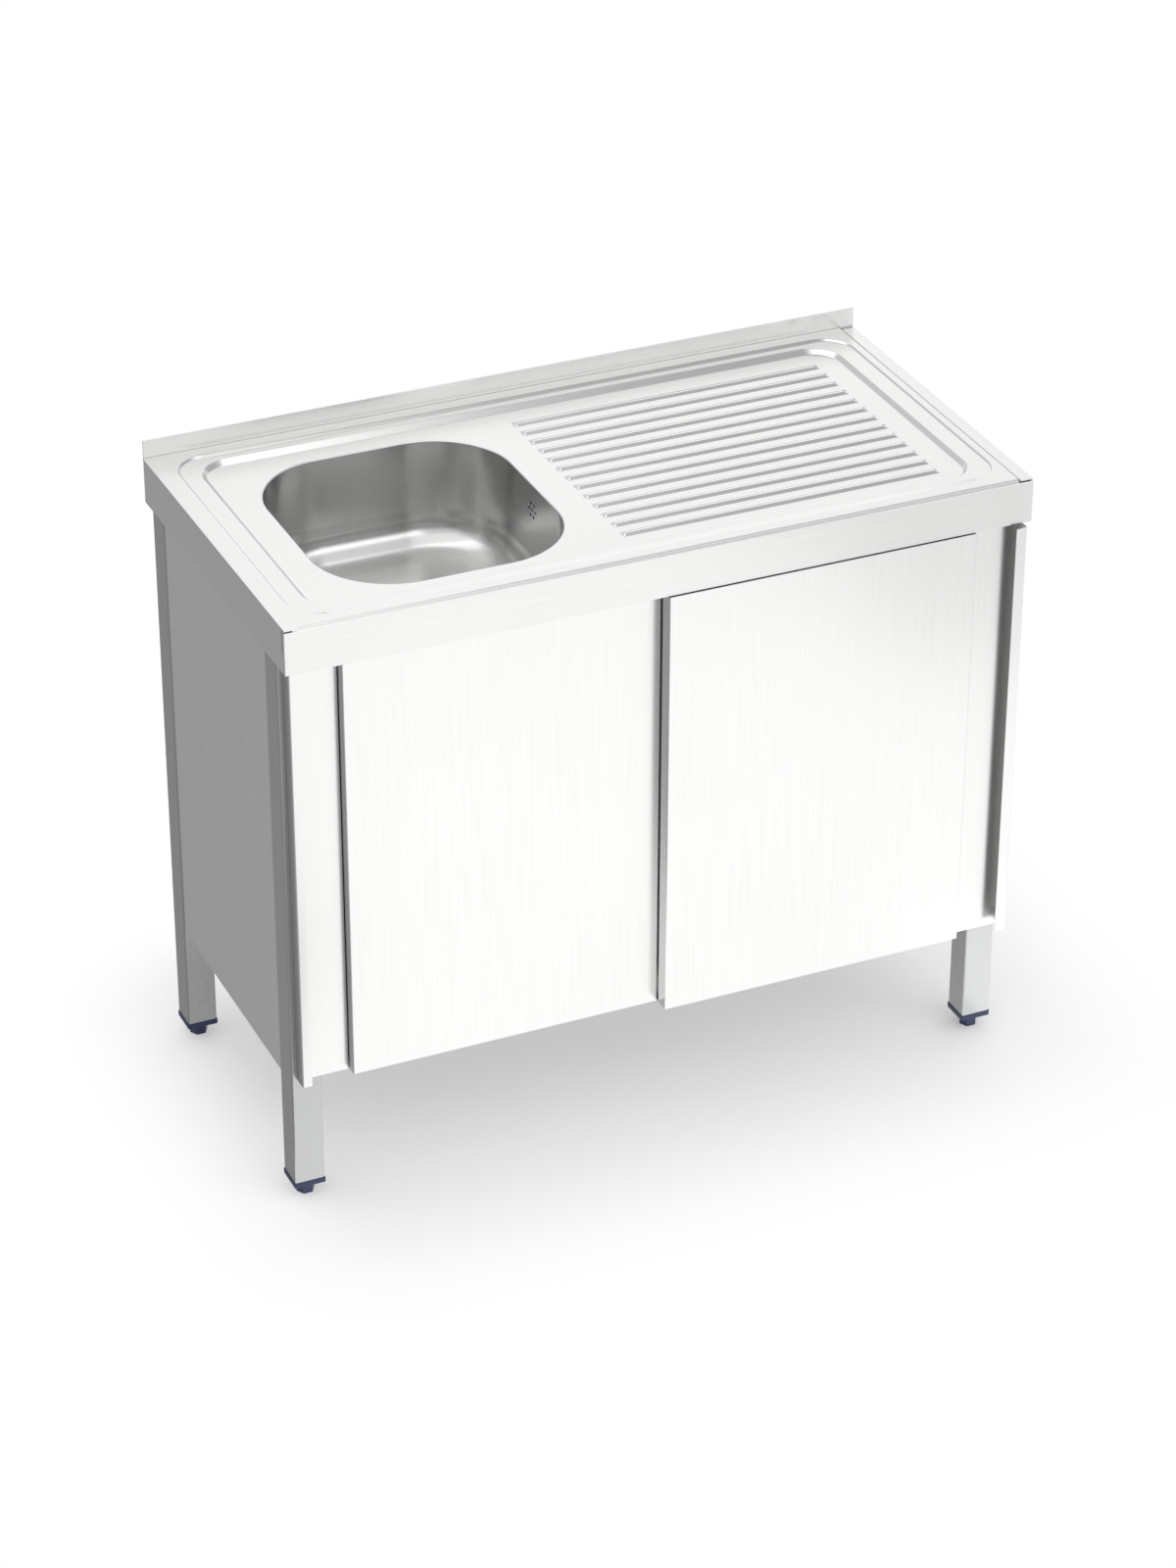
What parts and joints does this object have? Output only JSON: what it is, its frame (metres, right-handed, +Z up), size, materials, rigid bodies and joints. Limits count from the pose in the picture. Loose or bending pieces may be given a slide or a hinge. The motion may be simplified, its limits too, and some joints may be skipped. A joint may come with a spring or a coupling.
{
  "type": "stainless steel sink unit",
  "caption": "Stainless steel sink cabinet with a pressed bowl, ribbed drainer, upstand, two sliding doors and square legs on screw feet.",
  "frame": {"origin": "centre of the footprint at floor height, under the middle of the overall box", "axes": "+X to the right along the width seen from the front, +Y from the front to the wall, +Z up"},
  "size_m": [1, 0.508, 0.867],
  "materials": {
    "worktop_steel": "satin ground pressed sheet",
    "sheet_steel": "satin ground folded sheet",
    "leg_steel": "satin ground square tube",
    "frame_steel": "mill finish sheet",
    "bright_fittings": "polished",
    "blue_plastic": "moulded, matt",
    "white_plastic": "moulded, satin",
    "black_rubber": "matt"
  },
  "bodies": {
    "frame": {"worktop": "worktop_steel", "sink_bowl": "worktop_steel", "front_stiffener": "frame_steel", "rear_stiffener": "frame_steel", "drainer_stiffener": "frame_steel", "leg_front_left": "leg_steel", "leg_front_right": "leg_steel", "leg_rear_left": "leg_steel", "leg_rear_right": "leg_steel", "cap_front_left": "blue_plastic", "cap_front_right": "blue_plastic", "cap_rear_left": "blue_plastic", "cap_rear_right": "blue_plastic", "left_top_rail": "frame_steel", "right_top_rail": "frame_steel", "left_side_panel": "sheet_steel", "right_side_panel": "sheet_steel", "back_panel": "sheet_steel", "bottom_shelf": "sheet_steel", "shelf_stiffener": "frame_steel", "left_end_cover": "sheet_steel", "right_end_cover": "sheet_steel", "top_track": "frame_steel", "track_stops": "black_rubber", "track_rivets": "bright_fittings", "bottom_guide": "frame_steel", "guide_blocks": "white_plastic", "waste_flange": "bright_fittings", "waste_seal": "black_rubber", "waste_nut": "bright_fittings", "waste_body": "white_plastic", "overflow_box": "white_plastic", "overflow_seal": "black_rubber", "overflow_pipe": "white_plastic"},
    "foot_front_left": {"foot_front_left": "blue_plastic"},
    "foot_front_right": {"foot_front_right": "blue_plastic"},
    "foot_rear_left": {"foot_rear_left": "blue_plastic"},
    "foot_rear_right": {"foot_rear_right": "blue_plastic"},
    "left_door": {"left_door_skin": "sheet_steel", "left_door_back": "sheet_steel", "left_door_hangers": "frame_steel", "left_door_axles": "bright_fittings", "left_door_channel": "white_plastic"},
    "left_roller_a": {"left_roller_a": "white_plastic"},
    "left_roller_b": {"left_roller_b": "white_plastic"},
    "right_door": {"right_door_skin": "sheet_steel", "right_door_back": "sheet_steel", "right_door_hangers": "frame_steel", "right_door_axles": "bright_fittings", "right_door_channel": "white_plastic"},
    "right_roller_a": {"right_roller_a": "white_plastic"},
    "right_roller_b": {"right_roller_b": "white_plastic"},
    "plug": {"waste_plug": "black_rubber"}
  },
  "joints": [
    {"name": "foot_front_left_height", "type": "slide", "parent": "frame", "child": "foot_front_left", "axis": [0, 0, -1], "range_m": [0, 0.025]},
    {"name": "foot_front_right_height", "type": "slide", "parent": "frame", "child": "foot_front_right", "axis": [0, 0, -1], "range_m": [0, 0.025]},
    {"name": "foot_rear_left_height", "type": "slide", "parent": "frame", "child": "foot_rear_left", "axis": [0, 0, -1], "range_m": [0, 0.025]},
    {"name": "foot_rear_right_height", "type": "slide", "parent": "frame", "child": "foot_rear_right", "axis": [0, 0, -1], "range_m": [0, 0.025]},
    {"name": "left_door_slide", "type": "slide", "parent": "frame", "child": "left_door", "axis": [1, 0, 0], "range_m": [0, 0.41]},
    {"name": "left_roller_a_turn", "type": "hinge", "parent": "left_door", "child": "left_roller_a", "pos_m": [-0.35975, -0.2094, 0.7947], "axis": [0, 1, 0], "continuous": true},
    {"name": "left_roller_b_turn", "type": "hinge", "parent": "left_door", "child": "left_roller_b", "pos_m": [-0.05975, -0.2094, 0.7947], "axis": [0, 1, 0], "continuous": true},
    {"name": "right_door_slide", "type": "slide", "parent": "frame", "child": "right_door", "axis": [-1, 0, 0], "range_m": [0, 0.41]},
    {"name": "right_roller_a_turn", "type": "hinge", "parent": "right_door", "child": "right_roller_a", "pos_m": [0.05975, -0.233, 0.7947], "axis": [0, -1, 0], "continuous": true},
    {"name": "right_roller_b_turn", "type": "hinge", "parent": "right_door", "child": "right_roller_b", "pos_m": [0.35975, -0.233, 0.7947], "axis": [0, -1, 0], "continuous": true},
    {"name": "plug_lift", "type": "slide", "parent": "frame", "child": "plug", "axis": [0, 0, 1], "range_m": [0, 0.04]}
  ],
  "couplings": [
    {"joint": "left_roller_a_turn", "follows": "left_door_slide", "rad_per_m": 111.11},
    {"joint": "left_roller_b_turn", "follows": "left_door_slide", "rad_per_m": 111.11},
    {"joint": "right_roller_a_turn", "follows": "right_door_slide", "rad_per_m": 111.11},
    {"joint": "right_roller_b_turn", "follows": "right_door_slide", "rad_per_m": 111.11}
  ]
}
